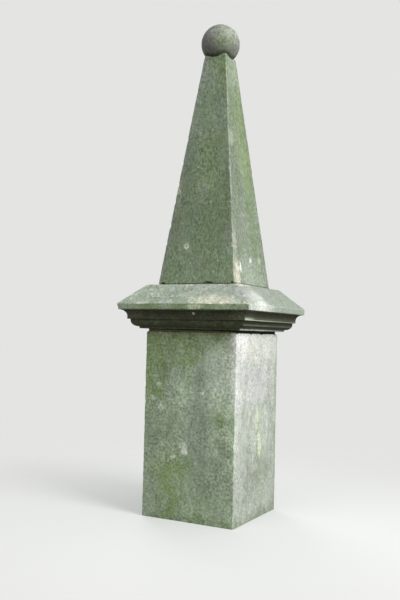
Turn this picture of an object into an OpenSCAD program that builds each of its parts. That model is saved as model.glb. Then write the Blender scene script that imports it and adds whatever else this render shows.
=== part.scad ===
// Square stone obelisk: a plain die, a moulded cornice with a sloping top, a tapering shaft and a ball.
// Four dressed stones stand one on another, each on its own bed of mortar.
// Millimetres, +Z up, with the origin at the centre of the die's foot and the front face towards -Y.

/* [Die] */
// Width of the square die, from face to face
die_width = 500; // [350:5:800]
// Height of the die, from the ground to its top
die_height = 912; // [500:2:1400]

/* [Cornice] */
// How far the upright edge of the slab stands out from the die's face
slab_overhang = 110; // [92:1:180]
// Height of the slab's upright edge
slab_edge_height = 31; // [15:1:60]
// Height of the sloping top, from the slab's edge to the ledge
slope_height = 98; // [40:1:160]
// Width of the flat ledge left round the foot of the shaft
ledge_width = 42; // [10:1:60]
// Step in from the slab's edge to the hollow moulding under it
hollow_step = 5; // [2:1:12]
// Radius of the hollow moulding
hollow_radius = 32; // [20:1:40]
// Height of the upright band under the hollow moulding
band_height = 14; // [6:1:24]
// Step in from that band to the round moulding
band_step = 12; // [4:1:18]
// Height of the upright neck over the round moulding
neck_height = 6; // [3:1:12]
// Radius of the round moulding
round_radius = 30; // [18:1:40]
// Step in from the foot of the round moulding to the lowest fillet
fillet_step = 3; // [1:1:6]
// Height of the lowest fillet
fillet_height = 9; // [5:1:16]

/* [Shaft] */
// Width of the shaft at its foot
shaft_foot_width = 424; // [240:2:480]
// Width of the shaft at its head
shaft_head_width = 122; // [100:2:200]
// Height of the shaft
shaft_height = 1194; // [600:2:2000]

/* [Ball] */
// Diameter of the ball
ball_diameter = 203; // [180:1:300]
// How far the ball's lowest point lies below the head of the shaft, in the cup cut for it
ball_seat_depth = 28; // [12:1:45]

/* [Mortar beds] */
// Thickness of the bed between the die and the cornice
die_bed_thickness = 13; // [4:1:20]
// How far that bed is washed back behind the die's face
die_bed_recess = 10; // [2:1:20]
// Thickness of the bed under the shaft
shaft_bed_thickness = 6; // [2:1:12]
// How far that bed is washed back behind the shaft's face
shaft_bed_recess = 6; // [2:1:20]
// Thickness of the bed between the ball and its cup
ball_bed_thickness = 2; // [1:0.5:6]
// How far that bed is washed back behind the head of the shaft
ball_bed_recess = 6; // [2:1:20]

/* [Dressing] */
// Width that the easing takes off each corner of the die and the shaft, along both faces
arris_ease = 4; // [2:1:10]
// Width that the easing takes off each corner of the slab, along both faces
slab_ease = 6; // [2:1:20]

/* [Hidden] */
$fn = 96;

// Levels above the ground, from stone to stone
die_bed_level = die_height;
cornice_level = die_bed_level + die_bed_thickness;

// Levels inside the cornice, above its own bed
round_level = fillet_height;
neck_level = round_level + round_radius;
band_level = neck_level + neck_height;
hollow_level = band_level + band_height;
slab_level = hollow_level + hollow_radius;
slope_level = slab_level + slab_edge_height;
cornice_height = slope_level + slope_height;

shaft_bed_level = cornice_level + cornice_height;
shaft_level = shaft_bed_level + shaft_bed_thickness;
shaft_head_level = shaft_level + shaft_height;
ball_centre_level = shaft_head_level - ball_seat_depth + ball_diameter / 2;

// Half widths of the cornice's section, each member stepped in from the one over it
slab_half = die_width / 2 + slab_overhang;
ledge_half = shaft_foot_width / 2 + ledge_width;
hollow_half = slab_half - hollow_step;
band_half = hollow_half - hollow_radius;
neck_half = band_half - band_step;
round_half = neck_half - round_radius;
fillet_half = round_half - fillet_step;

// Diameter of the cup cut in the head of the shaft
cup_diameter = ball_diameter + 2 * ball_bed_thickness;

// Length of a prism that runs clear of every stone
prism_length = 3 * slab_half;

stone_green_grey = [0.47, 0.49, 0.42];
stone_light_grey = [0.60, 0.61, 0.56];
stone_brown_grey = [0.48, 0.46, 0.43];
mortar_dark = [0.25, 0.24, 0.21];

// The right half of an upright section, as [half width, level] points, with its mirror image.
function whole(half) = concat(half, [for (i = [len(half) - 1 : -1 : 0]) [-half[i][0], half[i][1]]]);

// Cross two prisms of one upright section, so that all four sides follow it and meet in mitred corners.
module mitred() {
    intersection() {
        rotate([90, 0, 0]) linear_extrude(prism_length, center = true) children();
        rotate([90, 0, 90]) linear_extrude(prism_length, center = true) children();
    }
}

// The same section as seen across the diagonal, drawn in so that it eases the upright corners.
function across_corners(half, ease) = [for (p = half) [(2 * p[0] - ease) / sqrt(2), p[1]]];

// A square stone with straight sides, whose four upright corners are eased.
module dressed_stone(half) {
    intersection() {
        mitred() polygon(whole(half));
        rotate([0, 0, 45]) mitred() polygon(whole(across_corners(half, arris_ease)));
    }
}

// A quarter disc centred on a point of the section, on the side given by the signs of [across, up].
module quarter_disc(centre, radius, side) {
    translate(centre) intersection() {
        circle(radius);
        translate([side[0] > 0 ? 0 : -radius, side[1] > 0 ? 0 : -radius]) square(radius);
    }
}

// The cornice's section: fillet, round, neck, band, hollow, slab edge, sloping top and ledge.
module cornice_section() {
    difference() {
        union() {
            polygon(whole([
                [fillet_half, 0],
                [fillet_half, round_level],
                [round_half, round_level],
                [round_half, neck_level],
                [neck_half, neck_level],
                [neck_half, band_level],
                [band_half, band_level],
                [band_half, hollow_level],
                [hollow_half, hollow_level],
                [hollow_half, slab_level],
                [slab_half, slab_level],
                [slab_half, slope_level],
                [ledge_half, cornice_height]
            ]));
            for (side = [-1, 1])
                quarter_disc([side * round_half, neck_level], round_radius, [side, -1]);
        }
        for (side = [-1, 1])
            quarter_disc([side * hollow_half, hollow_level], hollow_radius, [-side, 1]);
    }
}

// A square bed of mortar, washed back all round.
module mortar_bed(width, recess, thickness) {
    bed_width = width - 2 * recess;
    translate([-bed_width / 2, -bed_width / 2, 0]) cube([bed_width, bed_width, thickness]);
}

module die() {
    color(stone_green_grey) dressed_stone([
        [die_width / 2, 0],
        [die_width / 2, die_height - arris_ease],
        [die_width / 2 - arris_ease, die_height]
    ]);
}

module die_bed() {
    color(mortar_dark) translate([0, 0, die_bed_level])
        mortar_bed(die_width, die_bed_recess, die_bed_thickness);
}

module cornice() {
    slab_block = [[slab_half, 0], [slab_half, cornice_height]];
    color(stone_light_grey) translate([0, 0, cornice_level]) intersection() {
        mitred() cornice_section();
        rotate([0, 0, 45]) mitred() polygon(whole(across_corners(slab_block, slab_ease)));
    }
}

module shaft_bed() {
    color(mortar_dark) translate([0, 0, shaft_bed_level])
        mortar_bed(shaft_foot_width, shaft_bed_recess, shaft_bed_thickness);
}

// The shaft's head is hollowed to a cup, which breaks out through the middle of each face
// and leaves the four corners standing up round the ball.
module shaft() {
    color(stone_green_grey) difference() {
        translate([0, 0, shaft_level]) dressed_stone([
            [shaft_foot_width / 2, 0],
            [shaft_head_width / 2, shaft_height]
        ]);
        translate([0, 0, ball_centre_level]) sphere(d = cup_diameter);
    }
}

// A dish of mortar that lines the cup, washed back from its rim.
module ball_bed() {
    color(mortar_dark) translate([0, 0, ball_centre_level]) difference() {
        intersection() {
            sphere(d = cup_diameter);
            translate([0, 0, -cup_diameter / 2])
                cylinder(d = shaft_head_width - 2 * ball_bed_recess, h = cup_diameter / 2);
        }
        sphere(d = ball_diameter);
    }
}

module ball() {
    color(stone_brown_grey) translate([0, 0, ball_centre_level]) sphere(d = ball_diameter);
}

die();
die_bed();
cornice();
shaft_bed();
shaft();
ball_bed();
ball();
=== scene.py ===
"""Models the weathered stones of a small square obelisk round its packed frame, and sets up a plain studio.

Everything is in metres, with +Z up and the front face towards -Y.
"""

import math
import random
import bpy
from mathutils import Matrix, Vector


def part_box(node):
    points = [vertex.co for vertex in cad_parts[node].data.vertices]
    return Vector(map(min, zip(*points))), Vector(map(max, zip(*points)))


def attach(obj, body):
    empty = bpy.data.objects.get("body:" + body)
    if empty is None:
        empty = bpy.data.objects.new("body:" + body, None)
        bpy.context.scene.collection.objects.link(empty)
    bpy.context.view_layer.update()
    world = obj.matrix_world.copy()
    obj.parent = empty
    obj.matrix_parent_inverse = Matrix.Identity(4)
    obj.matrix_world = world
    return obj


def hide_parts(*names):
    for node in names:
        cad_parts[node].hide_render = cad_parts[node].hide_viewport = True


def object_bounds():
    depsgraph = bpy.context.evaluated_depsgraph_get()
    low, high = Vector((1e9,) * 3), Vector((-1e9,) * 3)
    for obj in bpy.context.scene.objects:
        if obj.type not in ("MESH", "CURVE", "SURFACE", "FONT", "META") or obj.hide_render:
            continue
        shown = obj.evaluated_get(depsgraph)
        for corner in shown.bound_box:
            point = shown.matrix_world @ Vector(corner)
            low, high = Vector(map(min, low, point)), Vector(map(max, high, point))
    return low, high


bl_info = {
    "name": "Square Stone Obelisk",
    "version": (1, 0, 0),
    "blender": (4, 5, 0),
    "location": "View3D > Sidebar > Obelisk",
    "description": "Models the weathered stones, the mortar and the studio of a small square obelisk",
    "category": "Add Mesh",
}

from functools import partial, reduce
from itertools import accumulate

import bmesh
import bpy
from bpy.props import FloatProperty, FloatVectorProperty, PointerProperty
from bpy.types import Operator, Panel, PropertyGroup
from mathutils import Matrix, Vector, kdtree, noise

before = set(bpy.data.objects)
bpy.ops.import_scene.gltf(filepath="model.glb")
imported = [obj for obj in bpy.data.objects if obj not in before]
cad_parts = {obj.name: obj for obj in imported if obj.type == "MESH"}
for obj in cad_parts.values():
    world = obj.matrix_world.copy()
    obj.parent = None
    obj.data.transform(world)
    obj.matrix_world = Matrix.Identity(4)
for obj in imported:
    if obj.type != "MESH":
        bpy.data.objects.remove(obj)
cad_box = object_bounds()

BODY = "root"
SIDES = 4
FULL_TURN = 2 * math.pi
UP = (0, 0, 1)
RIGHT = (1, 0, 0)
FRONT = (0, -1, 0)

# Numbers of two upright corners, and the directions that lead away from their arrises
FRONT_LEFT = 0
FRONT_RIGHT = 1
FROM_LEFT_ARRIS = (1, -1, 0)
FROM_NEAR_ARRIS = (1, 1, 0)

# How close two levels, or two faces, count as one
SAME_LEVEL = 1e-4
SAME_FACE = 1e-5


def srgb(red, green, blue):
    """A screen colour, each part from 0 to 255, as the linear colour that shaders take."""
    parts = [part / 255 for part in (red, green, blue)]
    return tuple(part / 12.92 if part <= 0.04045 else ((part + 0.055) / 1.055) ** 2.4 for part in parts)


def number(**kind):
    """A kind of number that a user can set, made with its name, description and default."""
    def make(name, description, default):
        return FloatProperty(name=name, description=description, default=default, **kind)
    return make


metres = number(min=0, unit="LENGTH", precision=4)
radians = number(subtype="ANGLE", unit="ROTATION")
watts = number(subtype="POWER")
plain_number = number(min=0)


def tint(name, description, default):
    """A colour of stone, growth or dirt."""
    return FloatVectorProperty(
        name=name, description=description, default=srgb(*default), min=0, max=1, subtype="COLOR"
    )


class OBELISK_PG_sizes(PropertyGroup):
    """Sizes of the cornice's members and of the wear."""

    slab_edge_height: metres("Slab edge", "Height of the slab's upright edge", 0.031)
    slope_height: metres("Slope", "Height of the sloping top, from the slab's edge to the ledge", 0.098)
    ledge_width: metres("Ledge", "Width of the flat ledge round the foot of the shaft", 0.042)
    hollow_step: metres("Hollow step", "Step in from the slab's edge to the hollow", 0.005)
    hollow_radius: metres("Hollow radius", "Radius of the hollow moulding", 0.032)
    band_height: metres("Band", "Height of the upright band under the hollow", 0.014)
    band_step: metres("Band step", "Step in from the band to the round", 0.012)
    neck_height: metres("Neck", "Height of the upright neck over the round", 0.006)
    round_radius: metres("Round radius", "Radius of the round moulding", 0.030)
    fillet_step: metres("Fillet step", "Step in from the round to the lowest fillet", 0.003)
    fillet_height: metres("Fillet", "Height of the lowest fillet", 0.009)
    cap_inset: metres("Cap inset", "How far a stone's bed face is modelled in from its edge", 0.040)
    shaft_head_width: metres("Shaft head", "Width of the shaft at its head", 0.122)
    cup_gap: metres("Cup gap", "Thickness of the mortar between the ball and its cup", 0.002)
    edge_rounding: metres("Edge rounding", "Rounding of the level edges of a stone", 0.0025)
    mesh_spacing: metres("Mesh spacing", "Distance between the rows of a stone's mesh", 0.0047)


class OBELISK_PG_colours(PropertyGroup):
    """Colours of the stones, and of what grows and lies on them."""

    die_stone: tint("Die stone", "Stone of the die on its damp sides", (172, 186, 160))
    # Lit copy of the die stone for its right side: partly rain-washed stone, partly painted sunlight.
    washed_and_sunlit_stone: tint("Washed stone", "Stone of the die and cornice where rain washes it", (196, 203, 189))
    shaft_stone: tint("Shaft stone", "Stone of the shaft on its damp sides", (128, 143, 117))
    # Lit copy of the shaft stone for its right side: partly rain-washed stone, partly painted sunlight.
    shaft_washed_and_sunlit: tint("Washed shaft", "Stone of the shaft where rain washes it", (140, 150, 132))
    top_stone: tint("Top stone", "Stone of the sloping top", (166, 175, 160))
    ball_stone: tint("Ball stone", "Stone of the ball", (136, 142, 126))
    # Also a painted highlight along the shaft's near arris and on the ball's upper right.
    pale_stone: tint("Pale stone", "Dry grains and worn edges", (206, 208, 198))
    violet_stone: tint("Violet stone", "Bare patches with a violet tint", (146, 144, 144))
    pale_violet: tint("Pale violet", "Dry crust with a violet tint", (196, 192, 200))
    algae: tint("Algae", "Green film on the damp sides", (110, 134, 76))
    light_algae: tint("Light algae", "Yellowish green film in the lighter places", (138, 160, 104))
    moss: tint("Moss", "Yellow-green growth in streaks and specks", (236, 242, 204))
    # Black crust, also used as painted shade under the slab, in the mouldings' recesses, in the joints and
    # gaps, and in the crease under the ball.
    soot_and_shade: tint("Soot", "Black crust where rain never reaches", (58, 61, 45))
    olive_film: tint("Olive film", "Yellowish film on the damp sides", (124, 128, 84))
    cool_film: tint("Cool film", "Bluish green film on the damp sides", (102, 130, 102))
    # Brownish crust, also used as painted shade in the front mouldings and on the ball's lower left.
    brown_soot_and_shade: tint("Brown soot", "Brownish crust in the mouldings", (76, 72, 49))
    brown_crust: tint("Brown crust", "Brownish crust by the joints", (140, 132, 112))
    lichen: tint("Lichen", "White crust in patches and spots", (232, 240, 224))
    # Whitish crust, partly painted sunlight: the pale patches high on the die's right side and at the
    # cornice's near corner.
    bloom_and_sunlight: tint("Bloom", "Whitish bloom high on the washed side", (248, 248, 242))
    # Yellowish-white crust, partly painted sunlight: patches on the cornice's slope and near corner, high on
    # the die's right side, and a strip beside the shaft's near arris.
    cream_and_sunlight: tint("Cream", "Cream crust near the washed arrises", (234, 226, 206))
    mortar: tint("Mortar", "Washed lime mortar", (70, 67, 57))
    floor: tint("Floor", "Plain pale floor", (228, 228, 226))
    floor_stone: tint("Floor stone", "What the floor is lit as, under its glow", (204, 204, 202))
    ground: tint("Ground", "What lights the stones from below, darker than the floor", (86, 92, 78))


class OBELISK_PG_studio(PropertyGroup):
    """The camera and the lamps."""

    camera_place: FloatVectorProperty(
        name="Camera place", description="Where the camera stands", default=(1.7561, -3.4361, 0.9037),
        subtype="TRANSLATION", unit="LENGTH",
    )
    camera_turn: radians("Camera turn", "How far the camera turns to the left from +Y", 0.492)
    camera_rise: radians("Camera rise", "How far the camera looks up", 0.0453)
    camera_roll: radians("Camera roll", "How far the camera leans to its left", 0.0244)
    lens: number(min=1)("Lens", "Focal length on a 36 mm sensor", 44.967)
    key_power: watts("Key power", "Power of the large soft lamp on the right", 260)
    fill_power: watts("Fill power", "Power of the large soft lamp in front", 60)
    back_power: watts("Back power", "Power of the large soft lamp behind", 130)
    floor_glow: plain_number("Floor glow", "How far the camera sees the floor lifted towards white", 0.2)
    sky_strength: plain_number("Sky strength", "Strength of the even light from all round", 0.5)


def settings():
    """The three groups of settings, as sizes, colours and studio."""
    scene = bpy.context.scene
    return scene.obelisk_sizes, scene.obelisk_colours, scene.obelisk_studio


def cornice_levels():
    """Levels of the cornice's foot, round, neck, band, hollow, slab edge and slope."""
    sizes = settings()[0]
    rises = (
        sizes.fillet_height, sizes.round_radius, sizes.neck_height, sizes.band_height,
        sizes.hollow_radius, sizes.slab_edge_height,
    )
    return list(accumulate(rises, initial=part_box("cornice")[0].z))


def add_object(name, data):
    """Add an object to the scene."""
    added = bpy.data.objects.new(name, data)
    bpy.context.scene.collection.objects.link(added)
    return added


# Meshes of the stones

def draw_wire(bm, outline):
    """Draw an outline of (half width, level) points as a wire."""
    verts = [bm.verts.new((half, 0, level)) for half, level in outline]
    for start, end in zip(verts, verts[1:]):
        bm.edges.new((start, end))
    return verts


def spin_wire(bm, steps):
    """Turn a wire once round Z."""
    bmesh.ops.spin(
        bm, geom=bm.verts[:] + bm.edges[:], cent=(0, 0, 0), axis=UP, dvec=(0, 0, 0),
        angle=FULL_TURN, steps=steps, use_merge=True,
    )


def wire_outline(bm, outline, rounding, spacing):
    """Draw an outline as a wire, with its sharp corners rounded and its edges divided."""
    sharp_angle = 0.5
    verts = draw_wire(bm, outline)
    sharp = [vert for vert in verts[1:-1] if vert.calc_edge_angle() > sharp_angle]
    bmesh.ops.bevel(
        bm, geom=sharp, offset=rounding, offset_type="OFFSET", segments=2, profile=0.5,
        affect="VERTICES", clamp_overlap=True, material=-1,
    )
    for edge in bm.edges[:]:
        cuts = int(edge.calc_length() / spacing)
        if cuts:
            bmesh.ops.subdivide_edges(bm, edges=[edge], cuts=cuts)


def quarter_arc(centre, radius, start, steps):
    """Points on a quarter circle of an outline, from the angle start onwards, against the clock."""
    angles = [start + math.pi / 2 * step / steps for step in range(steps + 1)]
    return [(centre[0] + radius * math.cos(angle), centre[1] + radius * math.sin(angle)) for angle in angles]


def crowd(share, amount=0.7):
    """Draw places from -1 to 1 along a side towards its two ends, where the wear is."""
    return share + amount * (math.sin(math.pi / 2 * share) - share)


def square_stone(outline, rounding, spacing, columns):
    """A mesh whose four sides follow one outline and meet in mitres, each divided into columns."""
    bm = bmesh.new()
    wire_outline(bm, outline, rounding, spacing)
    for vert in bm.verts:
        vert.co.y = vert.co.x
    spin_wire(bm, SIDES)
    across = [edge for edge in bm.edges if edge.verts[0].co.xy.angle(edge.verts[1].co.xy) > math.pi / 4]
    bmesh.ops.subdivide_edges(bm, edges=across, cuts=columns - 1, use_grid_fill=True)
    for vert in bm.verts:
        half = max(abs(vert.co.x), abs(vert.co.y))
        vert.co.x = half * crowd(vert.co.x / half)
        vert.co.y = half * crowd(vert.co.y / half)
    bmesh.ops.holes_fill(bm, edges=[edge for edge in bm.edges if edge.is_boundary], sides=0)
    bmesh.ops.recalc_face_normals(bm, faces=bm.faces)
    wear_layer(bm)
    return bm


def lumps(point, size, seed):
    """Smooth noise from 0 to 1, with lumps of about this size."""
    return 0.5 + 0.5 * noise.noise(Vector(point) / size + Vector((seed, -seed, 0.5 * seed)))


def wear_layer(bm):
    """The layer of the mesh that says how worn each point is, from 0 to 1."""
    return bm.verts.layers.float.get("wear") or bm.verts.layers.float.new("wear")


def ease_arrises(bm, reach_at):
    """Wear the upright arrises round. reach_at says how far along each face, by corner and level."""
    wear = wear_layer(bm)
    worn_width = 2.5
    for vert in bm.verts:
        x, y, level = vert.co
        half = max(abs(x), abs(y))
        inset = half - min(abs(x), abs(y))
        reach = reach_at((x > 0) + 2 * (y > 0), level)
        eased = (inset**3 + reach**3) ** (1 / 3)
        shift = min((eased - inset) / 2, half)
        vert.co.x -= math.copysign(shift, x)
        vert.co.y -= math.copysign(shift, y)
        vert[wear] = max(0, 1 - inset / (worn_width * reach))


def worn_reach(ease, chip, seed):
    """A reach for ease_arrises that ripples along each arris, and runs deeper where stone has crumbled."""
    crumble_size = 0.045
    least_crumbled = 0.62
    ripple_size = 0.018

    def reach_at(corner, level):
        along = (0.37 * corner, 0.11 * corner, level)
        crumbled = max(0, lumps(along, crumble_size, seed) - least_crumbled) / (1 - least_crumbled)
        return ease * (0.7 + 0.6 * lumps(along, ripple_size, seed + 5)) + chip * crumbled**1.5
    return reach_at


def flakes_along(start, end, outward, count, depth, seed):
    """Flakes of mixed sizes along an edge, as the (centre, radius) of the balls that bite them off."""
    dice = random.Random(seed)
    start = Vector(start)
    step = Vector(end) - start
    flakes = []
    for _flake in range(count):
        bite = depth * dice.uniform(0.3, 1) ** 1.5
        radius = bite * dice.uniform(2.5, 7)
        tilt = Vector(outward).normalized() + step.normalized() * dice.uniform(-0.3, 0.3)
        flakes.append((start + step * dice.random() + tilt.normalized() * (radius - bite), radius))
    return flakes


def flakes_round(half, level, rise, count, depth, seed):
    """Flakes along the four sides of a level edge. rise is 1 on an upper edge and -1 on a lower one."""
    flakes = []
    for side in range(SIDES):
        turn = Matrix.Rotation(FULL_TURN * side / SIDES, 3, "Z")
        start = turn @ Vector((-half, -half, level))
        end = turn @ Vector((half, -half, level))
        flakes += flakes_along(start, end, turn @ Vector((0, -1, rise)), count, depth, seed + side)
    return flakes


def flakes_up(foot_half, foot, head_half, head, count, depth, seed):
    """Flakes along the four upright arrises of a stone."""
    flakes = []
    for corner, (x, y) in enumerate([(-1, -1), (1, -1), (1, 1), (-1, 1)]):
        start = (x * foot_half, y * foot_half, foot)
        end = (x * head_half, y * head_half, head)
        flakes += flakes_along(start, end, (x, y, 0), count, depth, seed + corner)
    return flakes


def knock_off(bm, flakes):
    """Push every point inside a flake's ball out to the ball's surface, and mark it as worn."""
    wear = wear_layer(bm)
    bm.verts.ensure_lookup_table()
    tree = kdtree.KDTree(len(bm.verts))
    for vert in bm.verts:
        tree.insert(vert.co, vert.index)
    tree.balance()
    for centre, radius in flakes:
        for _place, index, _distance in tree.find_range(centre, radius):
            vert = bm.verts[index]
            away = vert.co - centre
            if away.length < radius:
                vert.co = centre + away.normalized() * radius
                vert[wear] = 1.0


def roughen(bm, layers, seed, inwards=0.5, beds=()):
    """Move the surface by noise of each (size, depth). At inwards 1 nothing stands out. Beds stay level."""
    bm.normal_update()
    moves = []
    for vert in bm.verts:
        depth = sum(depth * (lumps(vert.co, size, seed + size) - 1 + inwards) for size, depth in layers)
        move = vert.normal * depth
        if any(abs(vert.co.z - bed) < SAME_LEVEL for bed in beds):
            move.z = 0
        moves.append(move)
    for vert, move in zip(bm.verts, moves):
        vert.co -= move


def finish_piece(bm, name, node, material):
    """Make the mesh a piece that stands for a node of the frame, with its material."""
    for face in bm.faces:
        face.smooth = True
    mesh = bpy.data.meshes.new(name)
    bm.to_mesh(mesh)
    bm.free()
    mesh.materials.append(material)
    piece = add_object(name, mesh)
    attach(piece, BODY)
    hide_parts(node)


# Shader nodes

class Wiring:
    """Adds nodes to one shader tree, each to the right of the one before it."""

    def __init__(self, owner):
        """Start afresh on a group, or on the tree of a material or a world."""
        self.tree = owner
        self.count = 0
        if not isinstance(owner, bpy.types.NodeTree):
            owner.use_nodes = True
            self.tree = owner.node_tree
            self.tree.nodes.clear()

    def node(self, kind, inputs=None, **values):
        """Add a node, set its values and feed its inputs, by name or number."""
        node = self.tree.nodes.new(kind)
        node.location = (190 * self.count, -60 * (self.count % 3))
        self.count += 1
        for name, value in values.items():
            setattr(node, name, value)
        for socket, value in (inputs or {}).items():
            self.feed(node.inputs[socket], value)
        return node

    def feed(self, socket, value):
        """Link an input to another node's output, or give it a plain value."""
        if isinstance(value, bpy.types.NodeSocket):
            self.tree.links.new(value, socket)
        elif socket.type == "RGBA":
            socket.default_value = (*value[:3], 1)
        else:
            socket.default_value = value

    def math(self, operation, first, second=0.0, third=0.0):
        """A Math node."""
        return self.node("ShaderNodeMath", {0: first, 1: second, 2: third}, operation=operation).outputs[0]

    def times(self, *values):
        """The product of any number of values."""
        return reduce(partial(self.math, "MULTIPLY"), values)

    def vector(self, operation, first, second=(0, 0, 0)):
        """A Vector Math node whose result is a vector."""
        return self.node("ShaderNodeVectorMath", {0: first, 1: second}, operation=operation).outputs["Vector"]

    def measure(self, operation, first, second=(0, 0, 0)):
        """A Vector Math node whose result is a number."""
        return self.node("ShaderNodeVectorMath", {0: first, 1: second}, operation=operation).outputs["Value"]

    def span(self, value, low, high, to_low=0.0, to_high=1.0):
        """Ease a value from low to high into the range from to_low to to_high."""
        inputs = {"Value": value, "From Min": low, "From Max": high, "To Min": to_low, "To Max": to_high}
        return self.node("ShaderNodeMapRange", inputs, interpolation_type="SMOOTHSTEP").outputs["Result"]

    def between(self, value, low, high, soft):
        """Ease to 1 between two limits and to 0 outside them."""
        above = self.span(value, low - soft, low + soft)
        below = self.span(value, high - soft, high + soft, 1.0, 0.0)
        return self.times(above, below)

    def ramp(self, value, at_zero, at_one):
        """A straight ramp over values from 0 to 1."""
        inputs = {"Value": value, "To Min": at_zero, "To Max": at_one}
        return self.node("ShaderNodeMapRange", inputs).outputs["Result"]

    def blend(self, share, first, second):
        """Mix two colours."""
        node = self.node("ShaderNodeMix", {0: share}, data_type="RGBA")
        self.feed(node.inputs[6], first)
        self.feed(node.inputs[7], second)
        return node.outputs[2]

    def mixed(self, share, first, second):
        """Mix the shaders of two nodes."""
        inputs = {0: share, 1: first.outputs[0], 2: second.outputs[0]}
        return self.node("ShaderNodeMixShader", inputs).outputs[0]

    def scaled(self, colour, factor):
        """A colour made lighter or darker."""
        node = self.node("ShaderNodeVectorMath", {0: colour, "Scale": factor}, operation="SCALE")
        return node.outputs["Vector"]

    def noise(self, position, scale, detail=3.0, roughness=0.55):
        """A Noise Texture's value."""
        inputs = {"Vector": position, "Scale": scale, "Detail": detail, "Roughness": roughness}
        return self.node("ShaderNodeTexNoise", inputs).outputs[0]

    def place(self, tree, **inputs):
        """Place a shared group, fed by the names of its inputs, and give its outputs."""
        node = self.node("ShaderNodeGroup", node_tree=tree)
        for name, value in inputs.items():
            self.feed(node.inputs[name], value)
        return node.outputs

    def use(self, tree, **inputs):
        """Place a shared group whose output is a mask."""
        return self.place(tree, **inputs)["Mask"]


VECTOR_SOCKETS = ("Position", "Normal", "Direction", "Centre", "Radii")


def open_group(name, inputs, outputs=("Mask",)):
    """Start a shader group with named sockets. Gives its wiring, its inputs and its outputs."""
    tree = bpy.data.node_groups.new(name, "ShaderNodeTree")
    for direction, sockets in (("INPUT", inputs), ("OUTPUT", outputs)):
        for socket in sockets:
            kind = "NodeSocketVector" if socket in VECTOR_SOCKETS else "NodeSocketFloat"
            tree.interface.new_socket(socket, in_out=direction, socket_type=kind)
    wiring = Wiring(tree)
    taken = wiring.node("NodeGroupInput").outputs
    given = wiring.node("NodeGroupOutput").inputs
    return wiring, taken, given


def shared(make):
    """Build a group the first time that it is asked for, and give the same one after that."""
    def give():
        name = make.__doc__.split(":")[0]
        return bpy.data.node_groups.get(name) or make(name)
    return give


@shared
def drift_group(name):
    """Drift: soft patches of noise, drawn out upwards by the stretch, between two limits."""
    wiring, taken, given = open_group(name, ("Position", "Size", "Stretch", "Low", "High"))
    part = wiring.node("ShaderNodeSeparateXYZ", {0: taken["Position"]}).outputs
    drawn = wiring.math("DIVIDE", part[2], taken["Stretch"])
    place = wiring.node("ShaderNodeCombineXYZ", {0: part[0], 1: part[1], 2: drawn}).outputs[0]
    value = wiring.noise(place, wiring.math("DIVIDE", 1.0, taken["Size"]), 4.0, 0.6)
    wiring.feed(given["Mask"], wiring.span(value, taken["Low"], taken["High"]))
    return wiring.tree


@shared
def grain_group(name):
    """Grain: the tone and the relief of sandy stone, in grains of one size and finer ones between them."""
    wiring, taken, given = open_group(name, ("Position", "Size"), ("Tone", "Relief"))
    scale = wiring.math("DIVIDE", 1.0, taken["Size"])
    coarse = wiring.noise(taken["Position"], scale, 2.0, 0.6)
    fine = wiring.noise(taken["Position"], wiring.times(scale, 3.3), 2.0, 0.7)
    grit = wiring.noise(taken["Position"], wiring.times(scale, 11.0), 1.0)
    tone = wiring.math("ADD", wiring.times(coarse, 0.62), wiring.times(fine, 0.38))
    wiring.feed(given["Tone"], wiring.span(tone, 0.36, 0.64))
    wiring.feed(given["Relief"], wiring.math("ADD", wiring.times(tone, 0.75), wiring.times(grit, 0.25)))
    return wiring.tree


@shared
def specks_group(name):
    """Specks: scattered ragged spots, in a share of the cells of one size."""
    wiring, taken, given = open_group(name, ("Position", "Size", "Share", "Reach"))
    scale = wiring.math("DIVIDE", 1.0, taken["Size"])
    finer = wiring.times(scale, 3.5)
    shake = wiring.node("ShaderNodeTexNoise", {"Vector": taken["Position"], "Scale": finer}).outputs[1]
    centred = wiring.vector("SUBTRACT", shake, (0.5, 0.5, 0.5))
    place = wiring.vector("ADD", taken["Position"], wiring.scaled(centred, wiring.times(taken["Size"], 0.7)))
    cells = wiring.node("ShaderNodeTexVoronoi", {"Vector": place, "Scale": scale}).outputs
    luck = wiring.node("ShaderNodeSeparateColor", {0: cells["Color"]}).outputs
    there = wiring.math("LESS_THAN", luck[0], taken["Share"])
    reach = wiring.times(taken["Reach"], wiring.ramp(luck[1], 0.4, 1.0))
    spot = wiring.span(cells["Distance"], wiring.times(reach, 0.6), reach, 1.0, 0.0)
    wiring.feed(given["Mask"], wiring.times(spot, there))
    return wiring.tree


@shared
def facing_group(name):
    """Facing: how much a face looks in a direction."""
    wiring, taken, given = open_group(name, ("Normal", "Direction", "Low", "High"))
    along = wiring.measure("DOT_PRODUCT", taken["Normal"], taken["Direction"])
    wiring.feed(given["Mask"], wiring.span(along, taken["Low"], taken["High"]))
    return wiring.tree


@shared
def spot_group(name):
    """Spot: one ragged patch round a centre."""
    wiring, taken, given = open_group(name, ("Position", "Centre", "Radii", "Ragged", "Size"))
    offset = wiring.vector("SUBTRACT", taken["Position"], taken["Centre"])
    reach = wiring.measure("LENGTH", wiring.vector("DIVIDE", offset, taken["Radii"]))
    value = wiring.noise(taken["Position"], wiring.math("DIVIDE", 1.0, taken["Size"]), 3.0, 0.6)
    ragged = wiring.times(wiring.math("SUBTRACT", value, 0.5), taken["Ragged"])
    wiring.feed(given["Mask"], wiring.span(wiring.math("ADD", reach, ragged), 0.4, 1.0, 1.0, 0.0))
    return wiring.tree


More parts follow.
